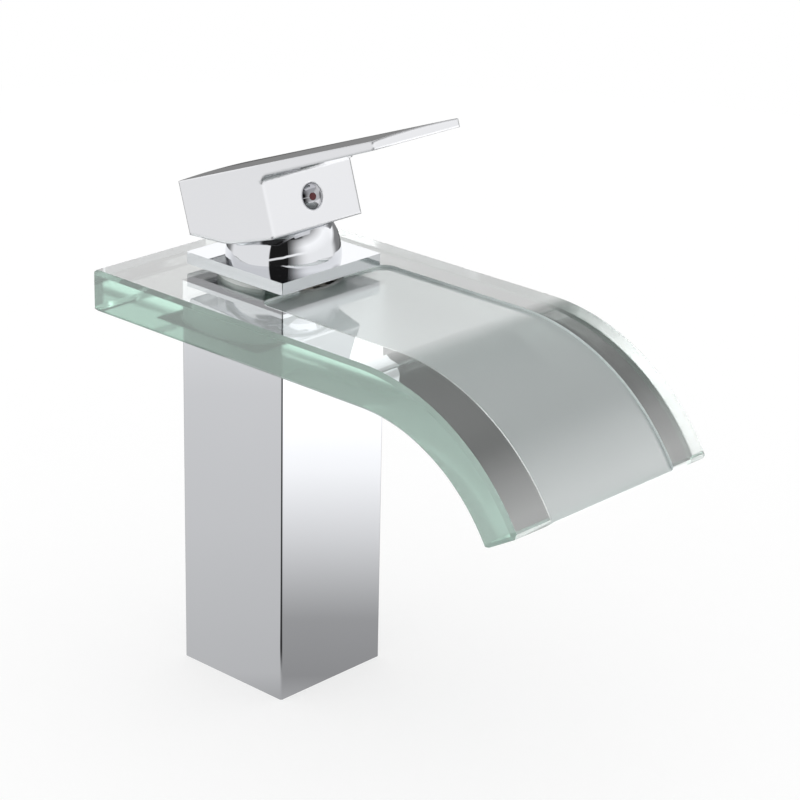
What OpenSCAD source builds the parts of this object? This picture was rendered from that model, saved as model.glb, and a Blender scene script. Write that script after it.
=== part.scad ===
// Waterfall basin faucet: square column, curved glass spout, single lever with a ceramic disc cartridge.
// Units are millimetres. The origin is the middle of the column's foot, +Z is up, the spout points to -Y.
// The handle stands as it does in use, lifted open by handle_tilt.

/* [Column] */
// Outer width and depth of the square column
column_w = 50; // [44:1:58]
// Height of the column, up to the glass
column_h = 134; // [110:1:180]
// Wall thickness of the column
column_wall = 2.5; // [2:0.1:3]
// Thickness of the column's closed top
column_top_t = 4; // [3.5:0.1:5]
// Radius of the column's upright edges
column_edge_r = 0.8; // [0.4:0.1:1.6]

/* [Glass spout] */
// Width of the glass
glass_w = 96.5; // [80:0.5:120]
// Thickness of the glass
glass_t = 15; // [12:0.5:19]
// Glass behind the column's axis
glass_back = 45.5; // [36:0.5:60]
// Straight run of the glass in front of the axis
glass_run = 83; // [60:1:110]
// Radius of the bend on its underside
bend_r = 63; // [45:1:90]
// Angle that the glass bends down through
bend_angle = 60; // [30:1:75]
// Ground arris along every edge of the glass
glass_arris = 1.4; // [0.6:0.1:2]
// Width of the frosted water channel
channel_w = 61; // [50:0.5:70]
// Depth of the frosted water channel
channel_depth = 1; // [0.5:0.1:2]
// Corner radius at the start of the channel
channel_corner_r = 5; // [2:0.5:8]
// Room for the sleeve between the core and the hole in the glass
sleeve_w = 1.6; // [1.2:0.1:2]

/* [Cover plate and dome] */
// Height of the water slot between the glass and the plate
slot_h = 2; // [1.5:0.1:3]
// Cover plate beyond the dome, on each side
plate_margin = 3.55; // [2:0.05:7]
// Thickness of the cover plate
plate_t = 4.3; // [3.5:0.1:6]
// Radius of the cover plate's upright edges
plate_edge_r = 0.5; // [0.2:0.1:1.5]
// Dome beyond the neck that it covers
dome_room = 3.2; // [2.9:0.1:3.3]
// Height of the dome, as a share of its radius
dome_h_share = 0.66; // [0.62:0.01:0.68]
// Wall thickness of the dome
dome_wall = 1.2; // [1:0.1:1.2]
// Radius of the stem's opening, as a share of the dome's radius
dome_hole_share = 0.41; // [0.4:0.01:0.45]

/* [Handle] */
// Lift of the handle from closed
handle_tilt = 17.4; // [0:0.1:25]
// Angle of the handle's whole lift, closed to fully open
lift_angle = 25; // [20:0.5:26]
// Handle's block beyond the dome, on each side
handle_cheek = 1.5; // [1:0.1:4]
// Lever's taper on each side, from the block to the tip
lever_taper = 1; // [0.5:0.25:6]
// Block beyond the dome at the back
block_overhang = 2.1; // [1.8:0.1:4]
// Underside of the block above the pivot, as a share of the dome's radius
block_floor_share = 0.38; // [0.36:0.01:0.44]
// Top of the handle over the axis, above the pivot
handle_top = 32.9; // [32:0.1:36]
// Slope of the handle's top, rising to the tip
top_slope = 2.6; // [0:0.1:5]
// Reach of the lever's tip, from the axis
lever_reach = 75.4; // [60:0.2:95]
// Thickness of the lever where it leaves the block
lever_root_t = 4.6; // [4:0.1:6]
// Thickness of the lever at its tip
lever_tip_t = 3.6; // [2.5:0.1:4]
// Height of the crown across the handle's top
crown_h = 0.7; // [0.3:0.1:1]
// Slope of the relieved underside at the back
relief_slope = 14.3; // [12:0.1:16]
// Start of the relieved underside, behind the axis
relief_start = 3; // [1:0.5:6]
// Radius of the index button on the front
button_r = 4.4; // [4.2:0.05:5]
// Index button above the hollow for the dome
button_rise = 1.4; // [1.2:0.1:2]

/* [Valve core] */
// Gap between the round core and the column's inner wall
core_gap = 2.5; // [2.3:0.1:3]
// Step in radius from the core to its threaded neck
neck_step = 3; // [2.9:0.1:3.4]
// Thickness of the core's clamping flange
flange_t = 4; // [3:0.5:6]
// Depth of the core below the cartridge
core_depth = 25; // [24:0.5:32]
// Radius of each outlet drilling
outlet_r = 1.8; // [1.4:0.1:1.9]

/* [Cartridge] */
// Neck's wall round the cartridge nut
thread_wall = 2; // [1.8:0.1:2.2]
// Ledge that the cartridge nut presses on
nut_ledge = 1; // [0.8:0.1:1.2]
// Drop from the pivot to the stem's ball, as a share of the cartridge's radius
ball_drop_share = 0.857; // [0.83:0.001:0.9]

/* [Inlets] */
// Height of the inlet block in the column's foot
inlet_block_h = 18; // [18:0.5:26]
// Radius of the threaded inlets, at the thread's crest
inlet_r = 4.6; // [4.2:0.1:4.8]
// Radius of the threaded stud hole, at the thread's crest
stud_r = 3.4; // [2.6:0.1:3.5]

/* [Hidden] */
$fn = 96;

// Clearances shared by every fit, and the overrun of cuts
fit_gap = 0.05;
slide_gap = 0.1;
drop_gap = 0.2;
free_gap = 0.3;
over = 1;

// Levels of the stack, from the foot up
column_floor = column_h - column_top_t;
glass_z0 = column_h;
glass_z1 = glass_z0 + glass_t;
plate_z0 = glass_z1 + slot_h;
plate_z1 = plate_z0 + plate_t;
pivot_z = plate_z1;
column_inner_w = column_w - 2 * column_wall;

// Radii, from the column's inner wall to the cartridge
core_r = column_inner_w / 2 - core_gap;
neck_r = core_r - neck_step;
nut_r = neck_r - thread_wall;
cartridge_r = nut_r - nut_ledge;
glass_hole_r = core_r + sleeve_w;
dome_r = neck_r + dome_room;
dome_h = dome_r * dome_h_share;
dome_hole_r = dome_r * dome_hole_share;
plate_w = 2 * (dome_r + plate_margin);

// One fourteenth of the cartridge's radius, that its own sizes are counted in
grid_r = cartridge_r / 14;
column_hole_r = core_r + drop_gap;

// Gaskets that lie in counterbores
gasket_t = 1;
gasket_w = 2.4;
glass_gasket_r0 = column_hole_r + drop_gap;
glass_gasket_r1 = glass_gasket_r0 + gasket_w;
core_gasket_r0 = column_hole_r + drop_gap;
core_gasket_r1 = core_gasket_r0 + gasket_w / 2;

// Seal in the neck's groove, high enough to touch the dome, and the neck's top above it
seal_groove_h = 2;
seal_groove_d = 1;
seal_land = 0.5;
seal_section_r = 0.95;
seal_ring_r = neck_r - seal_groove_d + seal_section_r + fit_gap;
seal_reach = dome_r - dome_wall - seal_section_r - fit_gap;
seal_z = plate_z1 + sqrt(seal_reach * seal_reach - seal_ring_r * seal_ring_r);
neck_z1 = seal_z + seal_groove_h / 2 + seal_land;

// Cartridge stack, from the stem's ball down to the seat in the core
ball_drop = cartridge_r * ball_drop_share;
ball_r = 2.4 * grid_r;
stem_w = 7 * grid_r;
pin_r = 1.5 * grid_r;
fixed_disc_t = 3.5 * grid_r;
moving_disc_t = 3 * grid_r;
carrier_lip = 2.7 * grid_r;
carrier_h = 5.5 * grid_r;
base_t = 5 * grid_r;
ball_z = pivot_z - ball_drop;
carrier_z1 = ball_z + carrier_lip;
carrier_z0 = carrier_z1 - carrier_h;
moving_z0 = carrier_z0 - moving_disc_t;
fixed_z0 = moving_z0 - fixed_disc_t;
seat_z = fixed_z0 - base_t;

// Stem and disc: the stem leans forward when closed and back by as much when open
stem_lean = lift_angle / 2;
stem_tilt = handle_tilt - stem_lean;
disc_shift = -ball_drop * sin(stem_tilt);
ball_bore_r = ball_r + slide_gap;
ball_neck_share = 0.66;
arm_slim = grid_r;
arm_t = stem_w - 2 * arm_slim;
arm_d = stem_w - arm_slim;
arm_rise = 7 * grid_r;
stem_rise = 28;

// Cartridge housing and rotor
housing_wall = 1.5 * grid_r;
housing_inner_r = cartridge_r - housing_wall;
rotor_gap = 0.5 * grid_r;
rotor_z0 = carrier_z1 + rotor_gap;
rotor_flange_t = 3 * grid_r;
rotor_flange_r = housing_inner_r - free_gap;
rotor_neck_r = 8.5 * grid_r;
rotor_rise = 5.6 * grid_r;
rotor_slot_l = 12.4 * grid_r;
housing_top_z0 = rotor_z0 + rotor_flange_t + slide_gap;
housing_top_t = 2 * grid_r;
housing_top_z1 = housing_top_z0 + housing_top_t;
housing_neck_r = 11 * grid_r;
housing_rise = 3.5 * grid_r;
lug_t = 2.4 * grid_r;
lug_l = 8 * grid_r;
lug_drop = 4.6 * grid_r;

// Discs and carrier
fixed_disc_r = housing_inner_r - free_gap;
moving_disc_r = 9.4 * grid_r;
carrier_flat = 8 * grid_r;
port_r = 2.4 * grid_r;
port_ring_r = 0.75 * grid_r;
port_x = 5 * grid_r;
port_y = 4.2 * grid_r;
mixed_port_r = 2.8 * grid_r;
mixed_port_y = 5.5 * grid_r;
pocket_front_r = 4 * grid_r;
pocket_front_y = -2 * grid_r;
pocket_rear_r = 3.8 * grid_r;
pocket_rear_y = 4 * grid_r;
pocket_depth_share = 0.5;
peg_r = 1.2 * grid_r;
peg_x = 6.6 * grid_r;
peg_l = grid_r;
key_r = 1.2 * grid_r;
key_rise_share = 0.6;

// Nuts on the neck
nut_bore_r = housing_neck_r + free_gap;
nut_h = 6 * grid_r;
nut_slot_w = 3 * grid_r;
nut_slot_d = 2 * grid_r;
clamp_nut_w = 1.3;
clamp_nut_r = neck_r + clamp_nut_w;
clamp_nut_h = 3;
clamp_slot_w = 2.5;

// Water ways in the core
socket_depth = 8;
riser_wall = 1;
passage_r = 3.2 * grid_r;
passage_x = 7 * grid_r;
duct_wall = 1.2;
duct_w = 2 * (passage_x - passage_r - duct_wall);
gallery_h = 6;
gallery_above_sockets = 1;
gallery_end_wall = 1;
gallery_end_angle = 8;
outlet_notch_h = 2.5;
gallery_r0 = norm([passage_x, port_y]) + passage_r + gallery_end_wall;
outlet_count = 5;
outlet_step_angle = 24;
outlet_ring_r = (cartridge_r + fit_gap + core_r) / 2;
notch_r0 = outlet_ring_r - outlet_r - slide_gap;
gallery_half_angle = (outlet_count - 1) / 2 * outlet_step_angle + gallery_end_angle;
core_z0 = seat_z - core_depth;
socket_z1 = core_z0 + socket_depth;
gallery_z0 = socket_z1 + gallery_above_sockets;

// Slot spacer: open at the front between these angles
spacer_gap = 0.6;
spacer_r0 = core_r + spacer_gap;
spacer_r1 = spacer_r0 + gasket_w;
spacer_half_angle = 62;

// Inlet block and risers
inlet_x = core_r / 2;
riser_r = core_r / 4;
riser_y = -core_r / 10;
block_fit = 0.1;
riser_grip = 6;
riser_z0 = inlet_block_h - riser_grip;
inlet_depth = 9;
stud_y = core_r / 2;
stud_depth = 14;
foot_gasket_w = 2.6;
foot_gasket_t = 1.8;
foot_gasket_inset = 1;
foot_gasket_r1 = column_inner_w / 2 - block_fit - foot_gasket_inset;
ring_section_r = 0.75;
ring_groove_h = 2;

// Handle, fitted round the dome
handle_w = 2 * (dome_r + handle_cheek);
lever_tip_w = handle_w - 2 * lever_taper;
block_front = dome_r;
block_back = dome_r + block_overhang;
block_floor = dome_r * block_floor_share;
pocket_gap = 0.6;
ceiling_gap = 0.5;
dome_top_r = sqrt(dome_r * dome_r - dome_h * dome_h);
pocket_ceiling = dome_h * cos(stem_lean) + dome_top_r * sin(stem_lean) + ceiling_gap;
button_h = pocket_ceiling + button_rise;

// Handle details
tip_edge_r = 0.6;
rear_edge_r = 1.2;
block_edge_r = 1.5;
floor_edge_r = 0.6;
notch_r = 3.5;
relief_blend_r = 30;
taper_blend_r = 150;
arc_steps = 8;
crown_room = 0.3;
screw_r = 2;
screw_l = 6;
screw_socket_r = 1.1;
button_recess = 2.4;
button_proud = 1.8;
button_ball_r = (button_r * button_r + button_proud * button_proud) / (2 * button_proud);
button_groove_w = 0.25;
button_groove_d = 0.6;
dot_r = 1.3;
dot_t = 0.5;
dot_turn = 12;

function direction(v) = v / norm(v);
function turn_between(a, b) = b - a > 180 ? b - a - 360 : (b - a < -180 ? b - a + 360 : b - a);

// Points of the arc that rounds the corner p1 of an outline
function corner_arc(p0, p1, p2, r) =
    let (
        back = direction(p0 - p1),
        ahead = direction(p2 - p1),
        half = acos(back * ahead) / 2,
        centre = p1 + direction(back + ahead) * r / sin(half),
        start = p1 + back * r / tan(half) - centre,
        end = p1 + ahead * r / tan(half) - centre,
        a0 = atan2(start.y, start.x),
        sweep = turn_between(a0, atan2(end.y, end.x))
    )
    [for (i = [0:arc_steps]) centre + r * [cos(a0 + sweep * i / arc_steps), sin(a0 + sweep * i / arc_steps)]];

// Outline with each corner rounded by its own radius
function rounded_outline(points, radii) =
    let (n = len(points))
    [for (i = [0:n - 1]) each corner_arc(points[(i + n - 1) % n], points[i], points[(i + 1) % n], radii[i])];

module tube(r1, r0, h) {
    difference() {
        cylinder(r = r1, h = h);
        translate([0, 0, -over]) cylinder(r = r0, h = h + 2 * over);
    }
}

module ring_seal(centre_r, section_r) {
    rotate_extrude() translate([centre_r, 0]) circle(r = section_r, $fn = 24);
}

// Square with round corners
module rounded_square(w, r) {
    square([w, w - 2 * r], center = true);
    square([w - 2 * r, w], center = true);
    for (sx = [-1, 1], sy = [-1, 1]) {
        translate([sx * (w / 2 - r), sy * (w / 2 - r)]) circle(r = r, $fn = 32);
    }
}

module at_risers() {
    for (side = [-1, 1]) translate([side * inlet_x, riser_y, 0]) children();
}

module column() {
    color("silver") difference() {
        linear_extrude(column_h) rounded_square(column_w, column_edge_r);
        translate([0, 0, -over]) linear_extrude(column_floor + over) square(column_inner_w, center = true);
        translate([0, 0, column_floor - over]) cylinder(r = column_hole_r, h = column_top_t + 2 * over);
        translate([0, 0, glass_z0 - gasket_t]) cylinder(r = glass_gasket_r1 + drop_gap, h = gasket_t + over);
        translate([0, 0, column_floor - over]) cylinder(r = core_gasket_r1 + drop_gap, h = gasket_t + over);
    }
}

module inlet_block() {
    color("goldenrod") difference() {
        linear_extrude(inlet_block_h) rounded_square(column_inner_w - 2 * block_fit, column_edge_r);
        translate([0, 0, -over]) {
            tube(foot_gasket_r1 + fit_gap, foot_gasket_r1 - foot_gasket_w - fit_gap, foot_gasket_t + over);
        }
        at_risers() translate([0, 0, riser_z0]) cylinder(r = riser_r + fit_gap, h = inlet_block_h);
        at_risers() riser_groove(inlet_block_h - ring_groove_h);
        at_risers() translate([0, 0, -over]) cylinder(r = riser_r - riser_wall, h = inlet_block_h);
        at_risers() translate([0, 0, -over]) cylinder(r = inlet_r, h = inlet_depth + over);
        translate([0, stud_y, -over]) cylinder(r = stud_r, h = stud_depth + over);
    }
}

module foot_gasket() {
    color("dimgray") tube(foot_gasket_r1, foot_gasket_r1 - foot_gasket_w, foot_gasket_t);
}

// Groove for a seal ring round a riser, its middle at height z
module riser_groove(z) {
    translate([0, 0, z - ring_groove_h / 2]) {
        cylinder(r = riser_r + 2 * ring_section_r + fit_gap, h = ring_groove_h);
    }
}

module riser() {
    translate([0, riser_y, riser_z0]) tube(riser_r, riser_r - riser_wall, socket_z1 - riser_z0);
}

module hot_riser() {
    color("peru") translate([-inlet_x, 0, 0]) riser();
}

module cold_riser() {
    color("peru") translate([inlet_x, 0, 0]) riser();
}

module riser_seals() {
    color("dimgray") at_risers() for (z = [inlet_block_h - ring_groove_h, core_z0 + ring_groove_h]) {
        translate([0, 0, z]) ring_seal(riser_r + ring_section_r, ring_section_r - fit_gap / 2);
    }
}

// Turned body of the core with its flange and neck
module core_blank() {
    translate([0, 0, core_z0]) cylinder(r = core_r, h = glass_z1 - core_z0);
    translate([0, 0, column_floor - flange_t]) linear_extrude(flange_t) {
        rounded_square(column_inner_w - 2 * block_fit, column_edge_r);
    }
    translate([0, 0, glass_z1 - over]) cylinder(r = neck_r, h = neck_z1 - glass_z1 + over);
}

// Mixed water: down from the cartridge, forward between the inlets, up the outlet drillings
module mixed_water_way() {
    translate([0, mixed_port_y, gallery_z0]) cylinder(r = mixed_port_r, h = seat_z - gallery_z0 + over);
    translate([-duct_w / 2, -outlet_ring_r, gallery_z0]) cube([duct_w, outlet_ring_r + mixed_port_y, gallery_h]);
    translate([0, 0, gallery_z0]) rotate([0, 0, -90 - gallery_half_angle]) {
        rotate_extrude(angle = 2 * gallery_half_angle) {
            translate([gallery_r0, 0]) square([core_r - gallery_end_wall - gallery_r0, gallery_h]);
            translate([notch_r0, glass_z1 - outlet_notch_h - gallery_z0]) {
                square([core_r - notch_r0 + over, outlet_notch_h + free_gap]);
            }
        }
    }
    for (i = [0:outlet_count - 1]) rotate([0, 0, -90 + (i - (outlet_count - 1) / 2) * outlet_step_angle]) {
        translate([outlet_ring_r, 0, gallery_z0 + gallery_h / 2]) {
            cylinder(r = outlet_r, h = glass_z1 - outlet_notch_h / 2 - gallery_z0 - gallery_h / 2, $fn = 32);
        }
    }
}

module valve_core() {
    color("goldenrod") difference() {
        core_blank();
        translate([0, 0, seat_z]) cylinder(r = cartridge_r + fit_gap, h = neck_z1);
        translate([0, 0, housing_top_z1]) cylinder(r = nut_r + fit_gap, h = neck_z1);
        at_risers() translate([0, 0, core_z0 - over]) cylinder(r = riser_r + fit_gap, h = socket_depth + over);
        at_risers() riser_groove(core_z0 + ring_groove_h);
        for (side = [-1, 1]) translate([side * passage_x, -port_y, socket_z1 - over]) {
            cylinder(r = passage_r, h = seat_z - socket_z1 + 2 * over);
        }
        mixed_water_way();
        translate([0, 0, seal_z - seal_groove_h / 2]) {
            tube(neck_r + over, neck_r - seal_groove_d, seal_groove_h);
        }
    }
}

module core_gasket() {
    color("dimgray") translate([0, 0, column_floor]) tube(core_gasket_r1, core_gasket_r0, gasket_t);
}

module glass_gasket() {
    color("whitesmoke") translate([0, 0, glass_z0 - gasket_t]) tube(glass_gasket_r1, glass_gasket_r0, gasket_t);
}

module hole_sleeve() {
    color("whitesmoke") translate([0, 0, glass_z0]) {
        tube(glass_hole_r - fit_gap, core_r + fit_gap, glass_t - channel_depth);
    }
}

// Section across the glass, with its ground edges
module glass_section() {
    w = glass_w / 2;
    c = glass_arris;
    polygon([
        [-w + c, 0], [w - c, 0], [w, c], [w, glass_t - c],
        [w - c, glass_t], [-w + c, glass_t], [-w, glass_t - c], [-w, c]
    ]);
}

// Everything that lies on the bend, swept down round the bend's axis
module round_the_bend(angle) {
    translate([0, -glass_run, glass_z0 - bend_r]) rotate([180, -90, 0]) {
        rotate_extrude(angle = angle, $fn = 192) translate([bend_r, 0]) children();
    }
}

// Square bars that grind the four edges of one end of the glass
module end_arris() {
    side = glass_arris * sqrt(2);
    for (z = [0, glass_t]) translate([0, 0, z]) rotate([45, 0, 0]) {
        cube([glass_w + 2 * over, side, side], center = true);
    }
    for (x = [-1, 1]) translate([x * glass_w / 2, 0, glass_t / 2]) {
        rotate([0, 0, 45]) cube([side, side, glass_t + 2 * over], center = true);
    }
}

// Plan of the channel: it starts with round corners under the plate and runs to the lip
module channel_plan() {
    start = plate_w / 2 - channel_corner_r;
    translate([-channel_w / 2, -glass_run]) square([channel_w, glass_run - start - channel_corner_r]);
    translate([-channel_w / 2 + channel_corner_r, -glass_run]) {
        square([channel_w - 2 * channel_corner_r, glass_run - start]);
    }
    for (side = [-1, 1]) translate([side * (channel_w / 2 - channel_corner_r), -start - channel_corner_r]) {
        circle(r = channel_corner_r);
    }
}

module glass_spout() {
    color("paleturquoise", 0.6) difference() {
        union() {
            translate([0, glass_back, glass_z0]) rotate([90, 0, 0]) {
                linear_extrude(glass_back + glass_run) glass_section();
            }
            round_the_bend(bend_angle) rotate(90) mirror([0, 1]) glass_section();
        }
        translate([0, glass_back, glass_z0]) end_arris();
        translate([0, -glass_run, glass_z0 - bend_r]) rotate([bend_angle, 0, 0]) translate([0, 0, bend_r]) end_arris();
        translate([0, 0, glass_z1 - channel_depth]) linear_extrude(channel_depth + over) channel_plan();
        round_the_bend(bend_angle + over) translate([glass_t - channel_depth, -channel_w / 2]) {
            square([channel_depth + over, channel_w]);
        }
        translate([0, 0, glass_z0 - over]) cylinder(r = glass_hole_r, h = glass_t + 2 * over);
    }
}

module slot_spacer() {
    color("whitesmoke") translate([0, 0, glass_z1]) rotate([0, 0, -90 + spacer_half_angle]) {
        rotate_extrude(angle = 360 - 2 * spacer_half_angle) {
            translate([spacer_r0, 0]) square([spacer_r1 - spacer_r0, slot_h]);
        }
    }
}

module cover_plate() {
    color("gainsboro") translate([0, 0, plate_z0]) difference() {
        linear_extrude(plate_t) rounded_square(plate_w, plate_edge_r);
        translate([0, 0, -over]) cylinder(r = neck_r + fit_gap, h = plate_t + 2 * over);
    }
}

module clamp_nut() {
    color("goldenrod") translate([0, 0, plate_z1]) difference() {
        tube(clamp_nut_r, neck_r + fit_gap, clamp_nut_h);
        for (a = [0, 90]) rotate([0, 0, a]) translate([-clamp_nut_r - over, -clamp_slot_w / 2, clamp_nut_h / 2]) {
            cube([2 * clamp_nut_r + 2 * over, clamp_slot_w, clamp_nut_h]);
        }
    }
}

module dome_seal() {
    color("dimgray") translate([0, 0, seal_z]) ring_seal(seal_ring_r, seal_section_r);
}

module dome_cap() {
    color("silver") translate([0, 0, pivot_z]) difference() {
        intersection() {
            sphere(r = dome_r);
            cylinder(r = dome_r + over, h = dome_h);
        }
        intersection() {
            sphere(r = dome_r - dome_wall);
            translate([0, 0, -over]) cylinder(r = dome_r, h = dome_h - dome_wall + over);
        }
        cylinder(r = dome_hole_r, h = dome_h + over);
    }
}

module cartridge_nut() {
    color("goldenrod") translate([0, 0, housing_top_z1]) difference() {
        tube(nut_r, nut_bore_r, nut_h);
        for (a = [0:60:120]) rotate([0, 0, a]) translate([-nut_r - over, -nut_slot_w / 2, nut_h - nut_slot_d]) {
            cube([2 * nut_r + 2 * over, nut_slot_w, nut_slot_d + over]);
        }
    }
}

module cartridge_housing() {
    color("ivory") difference() {
        union() {
            translate([0, 0, fixed_z0]) cylinder(r = cartridge_r, h = housing_top_z1 - fixed_z0);
            translate([0, 0, housing_top_z1 - over]) cylinder(r = housing_neck_r, h = housing_rise + over);
        }
        translate([0, 0, fixed_z0 - over]) cylinder(r = housing_inner_r, h = housing_top_z0 - fixed_z0 + over);
        cylinder(r = rotor_neck_r + fit_gap, h = neck_z1 + over);
    }
}

// The two inlets and the mixed outlet, at their places in the discs and the base
module at_ports() {
    for (side = [-1, 1]) translate([side * port_x, -port_y, 0]) children(0);
    translate([0, mixed_port_y, 0]) children(1);
}

module at_keys() {
    for (side = [-1, 1]) translate([side * fixed_disc_r, 0, 0]) children();
}

module cartridge_base() {
    color("ivory") difference() {
        union() {
            translate([0, 0, seat_z]) cylinder(r = cartridge_r, h = base_t);
            intersection() {
                at_keys() translate([0, 0, seat_z]) cylinder(r = key_r, h = base_t + fixed_disc_t * key_rise_share);
                cylinder(r = housing_inner_r - fit_gap, h = pivot_z);
            }
        }
        translate([0, 0, seat_z - over]) at_ports() {
            cylinder(r = port_r, h = base_t + 2 * over);
            cylinder(r = mixed_port_r, h = base_t + 2 * over);
        }
        translate([0, 0, seat_z - over]) at_ports() {
            cylinder(r = port_r + 2 * port_ring_r + fit_gap, h = 2 * port_ring_r + over);
            cylinder(r = mixed_port_r + 2 * port_ring_r + fit_gap, h = 2 * port_ring_r + over);
        }
    }
}

module port_seals() {
    color("dimgray") translate([0, 0, seat_z + port_ring_r]) at_ports() {
        ring_seal(port_r + port_ring_r, port_ring_r);
        ring_seal(mixed_port_r + port_ring_r, port_ring_r);
    }
}

module fixed_disc() {
    color("white") difference() {
        translate([0, 0, fixed_z0]) cylinder(r = fixed_disc_r, h = fixed_disc_t);
        translate([0, 0, fixed_z0 - over]) at_ports() {
            cylinder(r = port_r, h = fixed_disc_t + 2 * over);
            cylinder(r = mixed_port_r, h = fixed_disc_t + 2 * over);
        }
        at_keys() translate([0, 0, fixed_z0 - over]) cylinder(r = key_r + fit_gap, h = fixed_disc_t + 2 * over);
    }
}

module at_pegs() {
    for (side = [-1, 1]) translate([side * peg_x, 0, 0]) children();
}

module moving_disc() {
    color("white") translate([0, disc_shift, moving_z0]) difference() {
        cylinder(r = moving_disc_r, h = moving_disc_t);
        translate([0, pocket_front_y, -over]) cylinder(r = pocket_front_r, h = moving_disc_t * pocket_depth_share + over);
        translate([0, pocket_rear_y, -over]) cylinder(r = pocket_rear_r, h = moving_disc_t * pocket_depth_share + over);
        at_pegs() translate([0, 0, moving_disc_t - peg_l - fit_gap]) cylinder(r = peg_r + fit_gap, h = peg_l + over);
    }
}

module disc_carrier() {
    color("ivory") translate([0, disc_shift, carrier_z0]) difference() {
        union() {
            intersection() {
                cylinder(r = moving_disc_r, h = carrier_h);
                translate([-carrier_flat, -moving_disc_r, 0]) cube([2 * carrier_flat, 2 * moving_disc_r, carrier_h]);
            }
            at_pegs() translate([0, 0, -peg_l]) cylinder(r = peg_r, h = peg_l + over);
        }
        translate([0, 0, -over]) cylinder(r = ball_bore_r, h = carrier_h + 2 * over);
    }
}

module rotor() {
    color("ivory") difference() {
        union() {
            translate([0, 0, rotor_z0]) cylinder(r = rotor_flange_r, h = rotor_flange_t);
            translate([0, 0, rotor_z0]) cylinder(r = rotor_neck_r, h = pivot_z + rotor_rise - rotor_z0);
            for (side = [-1, 1]) translate([side * (carrier_flat + slide_gap + lug_t / 2), 0, rotor_z0 - lug_drop]) {
                translate([-lug_t / 2, -lug_l / 2, 0]) cube([lug_t, lug_l, lug_drop + over]);
            }
        }
        translate([-arm_t / 2 - slide_gap, -rotor_slot_l / 2, rotor_z0 - over]) {
            cube([arm_t + 2 * slide_gap, rotor_slot_l, pivot_z - rotor_z0 + rotor_rise + 2 * over]);
        }
        translate([0, 0, pivot_z]) rotate([0, 90, 0]) cylinder(r = pin_r + fit_gap, h = 3 * rotor_neck_r, center = true);
    }
}

module pivot_pin() {
    color("slategray") translate([0, 0, pivot_z]) rotate([0, 90, 0]) {
        cylinder(r = pin_r, h = 2 * rotor_neck_r - 2 * free_gap, center = true);
    }
}

// Frame of the handle: origin on the pivot, tilted up with the lever
module on_handle() {
    translate([0, 0, pivot_z]) rotate([-handle_tilt, 0, 0]) children();
}

// Frame of the stem: it leans forward in the handle
module on_stem() {
    rotate([stem_lean, 0, 0]) children();
}

module lever_stem() {
    color("gray") on_handle() on_stem() difference() {
        union() {
            translate([0, 0, -ball_drop]) sphere(r = ball_r, $fn = 48);
            translate([0, 0, -ball_drop]) cylinder(r = ball_r * ball_neck_share, h = ball_drop);
            translate([-arm_t / 2, -arm_d / 2, -ball_drop / 2 - pin_r]) {
                cube([arm_t, arm_d, ball_drop / 2 + pin_r + arm_rise + over]);
            }
            translate([-stem_w / 2, -stem_w / 2, arm_rise]) cube([stem_w, stem_w, stem_rise - arm_rise]);
        }
        rotate([0, 90, 0]) cylinder(r = pin_r + fit_gap, h = stem_w + 2 * over, center = true);
    }
}

function top_at(front) = handle_top + front * tan(top_slope);

// Side view of the handle, front towards -Y, drawn in the handle's own frame
function handle_side() = rounded_outline(
    [
        [block_back, top_at(-block_back) + crown_room],
        [-lever_reach, top_at(lever_reach) + crown_room],
        [-lever_reach, top_at(lever_reach) - lever_tip_t],
        [-block_front, top_at(block_front) - lever_root_t],
        [-block_front, block_floor],
        [relief_start, block_floor],
        [block_back, block_floor + (block_back - relief_start) * tan(relief_slope)]
    ],
    [rear_edge_r, tip_edge_r, tip_edge_r, notch_r, floor_edge_r, relief_blend_r, rear_edge_r]
);

// Plan of the block and plan of the lever, each with its round corners
module block_plan() {
    w = handle_w / 2;
    polygon(rounded_outline(
        [[-w, block_back], [w, block_back], [w, -block_front], [-w, -block_front]],
        [block_edge_r, block_edge_r, block_edge_r, block_edge_r]
    ));
}

module lever_plan() {
    w = handle_w / 2;
    tip = lever_tip_w / 2;
    polygon(rounded_outline(
        [[-w, block_back], [w, block_back], [w, -block_front], [tip, -lever_reach], [-tip, -lever_reach], [-w, -block_front]],
        [block_edge_r, block_edge_r, taper_blend_r, rear_edge_r, rear_edge_r, taper_blend_r]
    ));
}

module handle_blank() {
    crown_r = (handle_w * handle_w / 4 + crown_h * crown_h) / (2 * crown_h);
    notch_z = top_at(block_front) - lever_root_t - notch_r / 2;
    intersection() {
        rotate([90, 0, 90]) linear_extrude(handle_w + 2 * over, center = true) polygon(handle_side());
        union() {
            linear_extrude(handle_top * 2) block_plan();
            translate([0, 0, notch_z]) linear_extrude(handle_top) lever_plan();
        }
        translate([0, 0, handle_top]) rotate([90 - top_slope, 0, 0]) translate([0, -crown_r, 0]) {
            cylinder(r = crown_r, h = 4 * lever_reach, center = true, $fn = 360);
        }
    }
}

// Hollow for the dome: a ball cut off square to the stem, clear of the dome at both ends of the travel
module dome_pocket() {
    on_stem() intersection() {
        sphere(r = dome_r + pocket_gap);
        translate([0, 0, pocket_ceiling - 2 * dome_r]) cylinder(r = 2 * dome_r, h = 2 * dome_r);
    }
}

module on_button() {
    translate([0, -block_front, button_h]) rotate([90, 0, 0]) children();
}

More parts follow.
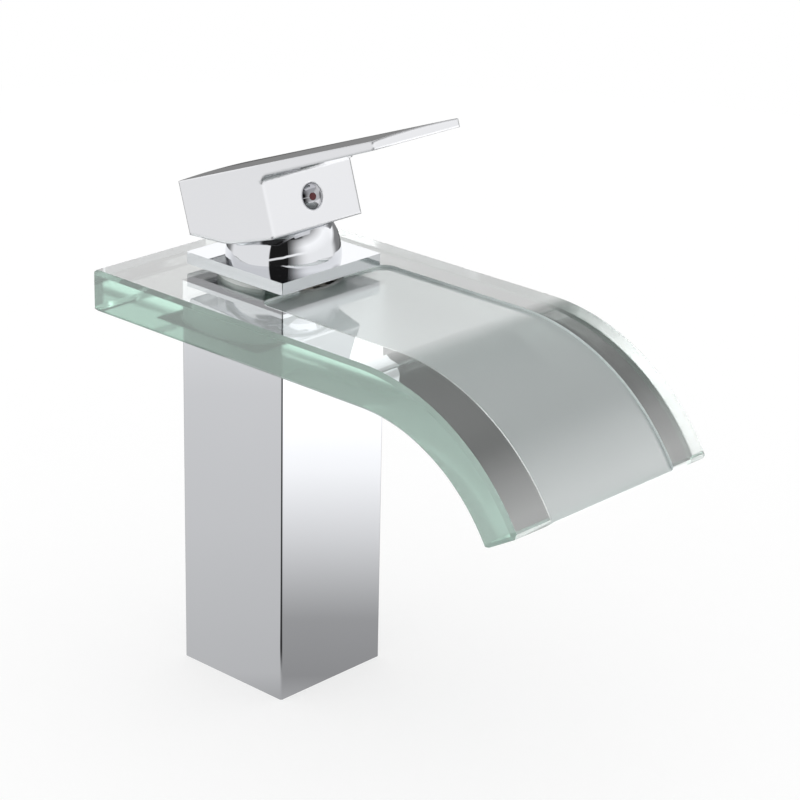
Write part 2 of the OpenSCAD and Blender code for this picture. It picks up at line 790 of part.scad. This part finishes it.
module handle() {
    color("silver") on_handle() difference() {
        handle_blank();
        dome_pocket();
        on_stem() translate([-stem_w / 2 - fit_gap, -stem_w / 2 - fit_gap, 0]) {
            cube([stem_w + 2 * fit_gap, stem_w + 2 * fit_gap, stem_rise + fit_gap]);
        }
        on_button() translate([0, 0, -button_recess]) cylinder(r = button_r + fit_gap, h = button_recess + over);
        on_button() translate([0, 0, -button_groove_d]) cylinder(r = button_r + button_groove_w, h = button_groove_d + over);
        on_button() translate([0, 0, -block_front]) cylinder(r = screw_r + fit_gap, h = block_front);
    }
}

// The set screw's tip stops against the stem's front face
module set_screw() {
    stem_face = button_h * tan(stem_lean) + stem_w / 2 / cos(stem_lean) + screw_r * tan(stem_lean);
    color("slategray") on_handle() translate([0, -stem_face - fit_gap, button_h]) rotate([90, 0, 0]) difference() {
        cylinder(r = screw_r, h = screw_l);
        translate([0, 0, screw_l / 2]) cylinder(r = screw_socket_r, h = screw_l, $fn = 6);
    }
}

// Dot of the given radius and depth, let into the button's dome towards the hot side
module hot_dot(r, t) {
    translate([0, 0, button_proud - button_ball_r]) rotate([0, -dot_turn, 0]) {
        translate([0, 0, button_ball_r - t]) cylinder(r = r, h = t + over, $fn = 32);
    }
}

// The ball that domes the button
module button_ball() {
    translate([0, 0, button_proud - button_ball_r]) sphere(r = button_ball_r, $fn = 192);
}

module index_button() {
    color("silver") on_handle() on_button() difference() {
        intersection() {
            translate([0, 0, -button_recess]) cylinder(r = button_r, h = button_recess + button_proud);
            button_ball();
        }
        hot_dot(dot_r + fit_gap, dot_t);
    }
}

module index_dot() {
    color("firebrick") on_handle() on_button() intersection() {
        hot_dot(dot_r, dot_t);
        button_ball();
    }
}

column();
inlet_block();
foot_gasket();
hot_riser();
cold_riser();
riser_seals();
valve_core();
core_gasket();
glass_gasket();
hole_sleeve();
glass_spout();
slot_spacer();
cover_plate();
clamp_nut();
dome_seal();
dome_cap();
cartridge_nut();
cartridge_housing();
cartridge_base();
port_seals();
fixed_disc();
moving_disc();
disc_carrier();
rotor();
pivot_pin();
lever_stem();
handle();
set_screw();
index_button();
index_dot();
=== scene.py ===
import bpy
from mathutils import Matrix, Vector

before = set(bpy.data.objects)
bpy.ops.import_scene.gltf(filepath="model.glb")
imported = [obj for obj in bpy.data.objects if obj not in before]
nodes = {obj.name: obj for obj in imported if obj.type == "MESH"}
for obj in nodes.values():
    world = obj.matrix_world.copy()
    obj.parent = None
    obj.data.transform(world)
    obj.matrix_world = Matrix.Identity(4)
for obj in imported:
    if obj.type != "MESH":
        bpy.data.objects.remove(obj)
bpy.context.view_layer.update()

scene = bpy.context.scene

# Sizes of the glass in metres, from the column's axis and the floor
glass_top = 0.149
bend_start = 0.083
bend_height = 0.071
channel_half_w = 0.03055
edge_from = 0.0468
seat_half_w = 0.025
seat_z = 0.1341
bore_r = 0.0217
bore_z = 0.1479

# Sizes of the floor in metres
floor_r = 0.75
floor_place = (0.05, 0.05, 0)

# Light of the plain studio: on dull surfaces, and as the camera sees it
studio_light = 1.05
studio_white = 1.0

# Painted light and shade of the floor as metal and glass see it on the level, as (place to the camera's right
# in metres, grey) stops; the low grey near the middle is a painted shadow under the spout
painted_floor_light_in_metal = [(-0.5, 1.0), (-0.42, 0.96), (-0.3, 0.8), (-0.15, 0.74), (-0.02, 0.63), (0.02, 0.36),
                  (0.066, 0.42), (0.14, 0.88), (0.21, 1.27), (0.31, 1.6), (0.37, 1.75)]
painted_floor_light_in_glass = [(-0.5, 0.9), (-0.37, 1.0), (-0.32, 2.1), (-0.26, 2.3), (-0.22, 1.55), (-0.15, 1.25),
                  (-0.08, 0.8), (0.02, 0.14), (0.2, 0.14), (0.37, 0.5)]
# Painted shade on the floor for mirror rays: behind the object, and towards the camera
painted_floor_shade_behind = 0.12
painted_floor_shade_before = 0.04

# What they see round it, as (upward part of the direction, grey) stops
right_wall_stops = [(-0.3, 1.1), (0.12, 1.1), (0.4, 1.3), (0.56, 0.85), (0.68, 0.32), (0.75, 0.18),
                    (1.0, 0.6)]
left_wall_stops = [(-0.3, 1.0), (0.6, 1.0), (0.8, 0.5), (1.0, 0.6)]
far_wall_stops = [(-0.4, 0.12), (-0.2, 0.25), (0.02, 0.28), (0.12, 1.28), (0.36, 1.28), (0.4, 0.8),
                  (0.47, 0.36), (0.56, 0.22), (1.0, 0.6)]
gap_grey = 0.015

# Where the tube of light lies, as (share to the camera's right, upward part + tube_lift) stops
tube_lift = 0.1
tube_stops = [(-0.5, 0.093), (-0.345, 0.143), (-0.183, 0.189), (0.04, 0.229), (0.155, 0.265),
              (0.476, 0.313)]

# Camera as fitted to the photo
focal_length = 123.221
sensor_width = 36
nearest = 0.05
farthest = 20
camera_place = (-0.630634, -0.643918, 0.452898)
camera_right = Vector((0.686921, -0.726487, 0.018870))
camera_up = Vector((0.252266, 0.262718, 0.931312))
camera_ahead = Vector((0.681543, 0.634977, -0.363734))

# The camera's right on the level, as parts of x and y
level_right = (0.682, -0.7315)


# Small helpers for building shader trees
class Tree:
    def __init__(self, tree):
        self.nodes = tree.nodes
        self.links = tree.links

    def add(self, kind, **settings):
        node = self.nodes.new(kind)
        for name, value in settings.items():
            setattr(node, name, value)
        return node

    def feed(self, socket, value):
        if isinstance(value, bpy.types.NodeSocket):
            self.links.new(value, socket)
        elif value is not None:
            socket.default_value = value

    def math(self, operation, a, b=None, c=None, clamp=False):
        node = self.add("ShaderNodeMath", operation=operation, use_clamp=clamp)
        for socket, value in zip(node.inputs, (a, b, c)):
            self.feed(socket, value)
        return node.outputs[0]

    def times(self, a, b):
        return self.math("MULTIPLY", a, b)

    def less(self, value, limit):
        """1 below the limit, 0 above."""
        return self.math("LESS_THAN", value, limit)

    def outside(self, mask):
        return self.math("SUBTRACT", 1, mask)

    def length(self, a, b):
        return self.math("SQRT", self.math("ADD", self.times(a, a), self.times(b, b)))

    def step(self, value, low, high):
        """0 below low, 1 above high, smooth between them."""
        node = self.add("ShaderNodeMapRange", interpolation_type="SMOOTHSTEP")
        self.feed(node.inputs["Value"], value)
        node.inputs["From Min"].default_value = low
        node.inputs["From Max"].default_value = high
        return node.outputs["Result"]

    def window(self, value, low, high, soft):
        """1 between low and high, 0 outside, with soft edges."""
        rise = self.step(value, low - soft, low + soft)
        fall = self.step(value, high - soft, high + soft)
        return self.math("SUBTRACT", rise, fall, clamp=True)

    def mix(self, factor, a, b):
        """From colour or grey a to b."""
        node = self.add("ShaderNodeMix", data_type="RGBA")
        self.feed(node.inputs[0], factor)
        for socket, value in ((node.inputs[6], a), (node.inputs[7], b)):
            if isinstance(value, (int, float)):
                value = (value, value, value, 1)
            elif isinstance(value, tuple) and len(value) == 3:
                value = (*value, 1)
            self.feed(socket, value)
        return node.outputs[2]

    def blend(self, factor, a, b):
        """From number a to b."""
        node = self.add("ShaderNodeMix", data_type="FLOAT")
        self.feed(node.inputs[0], factor)
        self.feed(node.inputs[2], a)
        self.feed(node.inputs[3], b)
        return node.outputs[0]

    def ramp(self, value, stops):
        """Grey that runs through (value, grey) stops."""
        node = self.add("ShaderNodeValToRGB")
        low, high = stops[0][0], stops[-1][0]
        self.feed(node.inputs[0], self.math("DIVIDE", self.math("SUBTRACT", value, low), high - low))
        marks = node.color_ramp.elements
        while len(marks) < len(stops):
            marks.new(0.5)
        for mark, (at, grey) in zip(marks, stops):
            mark.position = (at - low) / (high - low)
            mark.color = (grey, grey, grey, 1)
        return node.outputs[0]

    def split(self, vector):
        node = self.add("ShaderNodeSeparateXYZ")
        self.links.new(vector, node.inputs[0])
        return node.outputs

    def mix_shaders(self, factor, a, b):
        node = self.add("ShaderNodeMixShader")
        for socket, value in zip(node.inputs, (factor, a, b)):
            self.links.new(value, socket)
        return node.outputs[0]

    def finish(self, surface):
        self.links.new(surface, self.nodes["Material Output"].inputs["Surface"])


def material(name):
    made = bpy.data.materials.new(name)
    made.use_nodes = True
    tree = Tree(made.node_tree)
    shader = tree.nodes["Principled BSDF"]
    return made, tree, shader


def object_point(tree, scale=(1, 1, 1)):
    place = tree.add("ShaderNodeTexCoord")
    mapping = tree.add("ShaderNodeMapping")
    mapping.inputs["Scale"].default_value = scale
    tree.links.new(place.outputs["Object"], mapping.inputs["Vector"])
    return mapping.outputs["Vector"]


def noise(tree, scale, detail=2.0, stretch=(1, 1, 1)):
    node = tree.add("ShaderNodeTexNoise")
    node.inputs["Scale"].default_value = scale
    node.inputs["Detail"].default_value = detail
    tree.links.new(object_point(tree, stretch), node.inputs["Vector"])
    return node.outputs["Fac"]


def bump(tree, shader, height, strength, distance, edge_radius=0.0):
    node = tree.add("ShaderNodeBump")
    node.inputs["Strength"].default_value = strength
    node.inputs["Distance"].default_value = distance
    tree.links.new(height, node.inputs["Height"])
    if edge_radius:
        soft = tree.add("ShaderNodeBevel", samples=6)
        soft.inputs["Radius"].default_value = edge_radius
        tree.links.new(soft.outputs["Normal"], node.inputs["Normal"])
    tree.links.new(node.outputs["Normal"], shader.inputs["Normal"])


# Polished chrome plate: tiny waves of the buffing and faint wipe marks
def make_chrome(name, colour, edge_radius=0.0):
    made, tree, shader = material(name)
    wipe = noise(tree, scale=34, detail=3, stretch=(1, 1, 0.35))
    wiped = tuple(c * 0.985 for c in colour)
    tree.links.new(tree.mix(wipe, wiped, colour), shader.inputs["Base Color"])
    shader.inputs["Metallic"].default_value = 1
    tree.links.new(tree.math("MULTIPLY_ADD", wipe, 0.03, 0.012), shader.inputs["Roughness"])
    waves = noise(tree, scale=26, detail=1.5)
    bump(tree, shader, waves, strength=0.25, distance=0.00002, edge_radius=edge_radius)
    return made


# Metal as machined: fine rings of the tool
def make_turned(name, colour, roughness):
    made, tree, shader = material(name)
    grain = noise(tree, scale=40, detail=4, stretch=(1, 1, 6))
    dark = tuple(c * 0.86 for c in colour)
    tree.links.new(tree.mix(grain, dark, colour), shader.inputs["Base Color"])
    shader.inputs["Metallic"].default_value = 1
    tree.links.new(tree.math("MULTIPLY_ADD", grain, 0.14, roughness), shader.inputs["Roughness"])
    rings = tree.add("ShaderNodeTexWave", wave_type="RINGS", rings_direction="Z")
    rings.inputs["Scale"].default_value = 2400
    tree.links.new(object_point(tree), rings.inputs["Vector"])
    bump(tree, shader, rings.outputs["Fac"], strength=0.2, distance=0.00002)
    return made


# Moulded plastics, rubbers and ceramics
def make_moulded(name, colour, roughness, grain_scale, depth, subsurface=0.0, coat=0.0):
    made, tree, shader = material(name)
    grain = noise(tree, scale=grain_scale, detail=4)
    dark = tuple(c * 0.92 for c in colour)
    tree.links.new(tree.mix(grain, dark, colour), shader.inputs["Base Color"])
    tree.links.new(tree.math("MULTIPLY_ADD", grain, 0.12, roughness), shader.inputs["Roughness"])
    shader.inputs["Subsurface Weight"].default_value = subsurface
    shader.inputs["Subsurface Radius"].default_value = (0.002, 0.002, 0.002)
    shader.inputs["Coat Weight"].default_value = coat
    bump(tree, shader, grain, strength=0.3, distance=depth)
    return made


# Parts of the glass, each as a mask
def glass_masks(tree):
    place = tree.add("ShaderNodeTexCoord")
    x, y, z = tree.split(place.outputs["Object"])
    across = tree.math("ABSOLUTE", x)
    along = tree.math("ABSOLUTE", y)
    reach = tree.length(tree.math("ADD", y, bend_start), tree.math("SUBTRACT", z, bend_height))
    # Depth below the top, on the flat and on the bend alike
    height = tree.blend(tree.less(y, -bend_start), z, tree.math("ADD", reach, bend_height))
    level = tree.math("SUBTRACT", height, glass_top)
    skin = tree.step(level, -0.0013, -0.0011)
    in_channel = tree.less(across, channel_half_w)
    channel = tree.times(tree.window(level, -0.0011, -0.00005, 0.00003), in_channel)
    wall = tree.times(tree.window(level, -0.00096, -0.00005, 0.00002), in_channel)
    seat = tree.times(tree.less(tree.math("MAXIMUM", across, along), seat_half_w), tree.less(z, seat_z))
    bore = tree.times(tree.less(tree.length(x, y), bore_r), tree.less(z, bore_z))
    printed = tree.math("MAXIMUM", seat, bore)
    edge = tree.math("GREATER_THAN", across, edge_from)
    return skin, channel, wall, printed, edge


# Clear glass: faint green body, film on its top, frosted channel, ground sides, printed seat and bore
def make_glass():
    made, tree, shader = material("spout_glass")
    skin, channel, wall, printed, edge = glass_masks(tree)
    shader.inputs["IOR"].default_value = 1.52
    grain = noise(tree, scale=900, detail=3)
    frost = tree.math("MULTIPLY_ADD", grain, 0.1, 0.3)
    smooth = tree.times(noise(tree, scale=30, detail=3), 0.012)
    ground = tree.math("MULTIPLY_ADD", grain, 0.04, 0.1)
    rough = tree.blend(channel, tree.blend(edge, smooth, ground), frost)
    tree.links.new(tree.blend(printed, rough, 0.6), shader.inputs["Roughness"])
    clear = tree.blend(edge, tree.blend(channel, 1.0, 0.62), 0.74)
    clear = tree.blend(wall, clear, 0.2)
    tree.links.new(tree.times(clear, tree.outside(printed)), shader.inputs["Transmission Weight"])
    tint = tree.mix(edge, (1.0, 1.0, 1.0), (0.80, 0.97, 0.89))
    tint = tree.mix(channel, tint, (0.82, 0.89, 0.89))
    tree.links.new(tree.mix(printed, tint, (0.36, 0.42, 0.40)), shader.inputs["Base Color"])
    tree.links.new(tree.times(skin, tree.outside(edge)), shader.inputs["Coat Weight"])
    shader.inputs["Coat IOR"].default_value = 2.4
    shader.inputs["Coat Roughness"].default_value = 0.015
    bump(tree, shader, noise(tree, scale=18, detail=1), strength=0.15, distance=0.00003)
    # The frosting also scatters some light through to the other side
    haze = tree.add("ShaderNodeBsdfTranslucent")
    haze.inputs["Color"].default_value = (0.93, 0.95, 0.945, 1)
    tree.finish(tree.mix_shaders(tree.times(channel, 0.08), shader.outputs[0], haze.outputs[0]))
    body = tree.add("ShaderNodeVolumeAbsorption")
    body.inputs["Color"].default_value = (0.45, 0.84, 0.68, 1)
    body.inputs["Density"].default_value = 6.0
    tree.links.new(body.outputs[0], tree.nodes["Material Output"].inputs["Volume"])
    return made


rubber = make_moulded("black_rubber", (0.028, 0.028, 0.03), 0.55, 800, 0.00002)
plastic = make_moulded("cartridge_plastic", (0.78, 0.77, 0.72), 0.35, 700, 0.00001)
alumina = make_moulded("alumina", (0.88, 0.87, 0.83), 0.12, 1200, 0.000004, coat=0.3)
silicone = make_moulded("clear_silicone", (0.84, 0.86, 0.85), 0.35, 500, 0.00001, subsurface=0.3)
sleeve = make_moulded("white_plastic", (0.84, 0.85, 0.84), 0.4, 500, 0.00001, subsurface=0.2)
enamel = make_moulded("red_enamel", (0.11, 0.006, 0.01), 0.4, 300, 0.00001)
pieces_of_looks = [
    (make_chrome("chrome_plate", (0.72, 0.73, 0.755)), ["column", "cover_plate", "dome_cap"]),
    # The handle's chrome is a slightly lighter copy of the plate chrome: painted light. Its edges are
    # softened in the shading
    (make_chrome("chrome_soft_edged_painted_light", (0.74, 0.745, 0.765), edge_radius=0.0014), ["handle"]),
    # The button's chrome is a much darker copy of the plate chrome: painted shade
    (make_chrome("chrome_button_painted_shade", (0.38, 0.38, 0.4)), ["index_button"]),
    (make_glass(), ["glass_spout"]),
    (enamel, ["index_dot"]),
    (make_turned("brass", (0.72, 0.56, 0.28), 0.24), ["inlet_block", "clamp_nut", "cartridge_nut"]),
    (make_turned("plated_brass", (0.58, 0.56, 0.52), 0.26), ["valve_core"]),
    (make_turned("riser_brass", (0.72, 0.42, 0.24), 0.2), ["hot_riser", "cold_riser"]),
    (make_turned("steel", (0.56, 0.57, 0.58), 0.22), ["pivot_pin", "set_screw"]),
    (make_turned("stem_steel", (0.55, 0.55, 0.55), 0.32), ["lever_stem"]),
    (rubber, ["foot_gasket", "riser_seals", "core_gasket", "dome_seal", "port_seals"]),
    (silicone, ["glass_gasket", "slot_spacer"]),
    (sleeve, ["hole_sleeve"]),
    (plastic, ["cartridge_housing", "cartridge_base", "disc_carrier", "rotor"]),
    (alumina, ["fixed_disc", "moving_disc"]),
]
looks = {name: look for look, names in pieces_of_looks for name in names}

for name, piece in nodes.items():
    piece.data.materials.clear()
    piece.data.materials.append(looks[name])


# Parts of a place or direction on the level: to the camera's right, away from it, and its length
def on_level(tree, x, y):
    right_x, right_y = level_right
    side = tree.math("ADD", tree.times(x, right_x), tree.times(y, right_y))
    away = tree.math("ADD", tree.times(x, -right_y), tree.times(y, right_x))
    far = tree.math("MAXIMUM", tree.length(x, y), 0.0001)
    return side, away, far


# The same parts as shares of the length, so that only the compass direction counts
def shares_on_level(tree, x, y):
    side, away, far = on_level(tree, x, y)
    return tree.math("DIVIDE", side, far), tree.math("DIVIDE", away, far)


def in_mirror(tree):
    light = tree.add("ShaderNodeLightPath")
    return light, tree.math("MAXIMUM", light.outputs["Is Glossy Ray"], light.outputs["Is Transmission Ray"])


# Pale floor, a wide disc. Metal and glass see it glow with painted light, lit on both sides, with painted
# shade towards the camera and behind and a painted shadow under the spout
def make_floor():
    bpy.ops.mesh.primitive_circle_add(vertices=128, radius=floor_r, fill_type="NGON", location=floor_place)
    made = bpy.context.object
    made.name = "floor"
    floor_paint_and_light, tree, shader = material("floor_paint_and_painted_light")
    grain = noise(tree, scale=60, detail=4)
    tree.links.new(tree.mix(grain, (0.955, 0.955, 0.955), (0.975, 0.975, 0.975)), shader.inputs["Base Color"])
    shader.inputs["Roughness"].default_value = 0.9
    shader.inputs["Specular IOR Level"].default_value = 0.0
    place = tree.add("ShaderNodeNewGeometry")
    x, y, _ = tree.split(place.outputs["Position"])
    side, away, far = on_level(tree, x, y)
    away_share = tree.math("DIVIDE", away, far)
    light, mirrored = in_mirror(tree)
    # Painted light and shade of the floor in mirror rays, with a painted shadow under the spout; the floor
    # glows with it as emission
    in_metal = tree.ramp(side, painted_floor_light_in_metal)
    in_glass = tree.ramp(side, painted_floor_light_in_glass)
    lit = tree.mix(light.outputs["Is Transmission Ray"], in_metal, in_glass)
    behind = tree.step(away_share, 0.45, 0.8)
    before = tree.times(tree.step(tree.times(away_share, -1), 0.8, 0.9), tree.step(far, 0.05, 0.075))
    seen = tree.mix(before, tree.mix(behind, lit, painted_floor_shade_behind), painted_floor_shade_before)
    glow = tree.add("ShaderNodeEmission")
    tree.links.new(seen, glow.inputs["Color"])
    # To the camera it is mostly plain white, and the rest of it keeps the shadow
    white = tree.add("ShaderNodeEmission")
    whitened = tree.times(light.outputs["Is Camera Ray"], 0.65)
    paler = tree.mix_shaders(whitened, shader.outputs[0], white.outputs[0])
    tree.finish(tree.mix_shaders(mirrored, paler, glow.outputs[0]))
    made.data.materials.append(floor_paint_and_light)
    return made


floor = make_floor()


# Behind the camera: a dark gap, dim to its right, and a thin tube of light that slants across both
def dark_gap(tree, light, side, away, up):
    near = tree.times(tree.less(away, 0.0), light.outputs["Is Glossy Ray"])
    dim = tree.times(tree.window(side, 0.2, 0.9, 0.02), tree.outside(tree.step(side, 0.1, 0.85)))
    narrow = tree.times(tree.window(side, -0.44, 0.22, 0.02), tree.less(up, 0.8))
    wide = tree.times(tree.window(side, -0.9, 0.8, 0.05), tree.window(up, 0.64, 0.9, 0.04))
    gap = tree.times(tree.math("MAXIMUM", tree.math("MAXIMUM", narrow, wide), dim), near)
    tube = tree.ramp(side, tube_stops)
    off_tube = tree.math("ABSOLUTE", tree.math("SUBTRACT", tree.math("ADD", up, tube_lift), tube))
    return tree.times(gap, tree.step(off_tube, 0.02, 0.05))


# Studio: plain white light; metal and glass see its soft boxes and the dark gap behind the camera
def make_studio():
    world = bpy.data.worlds.new("studio")
    scene.world = world
    world.use_nodes = True
    tree = Tree(world.node_tree)
    tree.nodes.clear()
    place = tree.add("ShaderNodeTexCoord")
    x, y, up = tree.split(place.outputs["Generated"])
    side, away = shares_on_level(tree, x, y)
    light, mirrored = in_mirror(tree)
    right_wall = tree.ramp(up, right_wall_stops)
    left_wall = tree.ramp(up, left_wall_stops)
    far_wall = tree.ramp(up, far_wall_stops)
    walls = tree.mix(tree.step(side, -0.1, 0.1), left_wall, right_wall)
    walls = tree.mix(tree.step(away, 0.35, 0.7), walls, far_wall)
    walls = tree.mix(dark_gap(tree, light, side, away, up), walls, gap_grey)
    plain = tree.mix(light.outputs["Is Camera Ray"], studio_light, studio_white)
    back = tree.add("ShaderNodeBackground")
    tree.links.new(tree.mix(mirrored, plain, walls), back.inputs["Color"])
    back.inputs["Strength"].default_value = 1
    out = tree.add("ShaderNodeOutputWorld")
    tree.links.new(back.outputs[0], out.inputs["Surface"])


def make_camera():
    lens = bpy.data.cameras.new("photo_camera")
    lens.sensor_width = sensor_width
    lens.lens = focal_length
    lens.clip_start = nearest
    lens.clip_end = farthest
    camera = bpy.data.objects.new("photo_camera", lens)
    scene.collection.objects.link(camera)
    turn = Matrix((camera_right, camera_up, -camera_ahead)).transposed().to_4x4()
    camera.matrix_world = Matrix.Translation(camera_place) @ turn
    return camera


make_studio()
scene.camera = make_camera()
scene.view_settings.view_transform = "Standard"
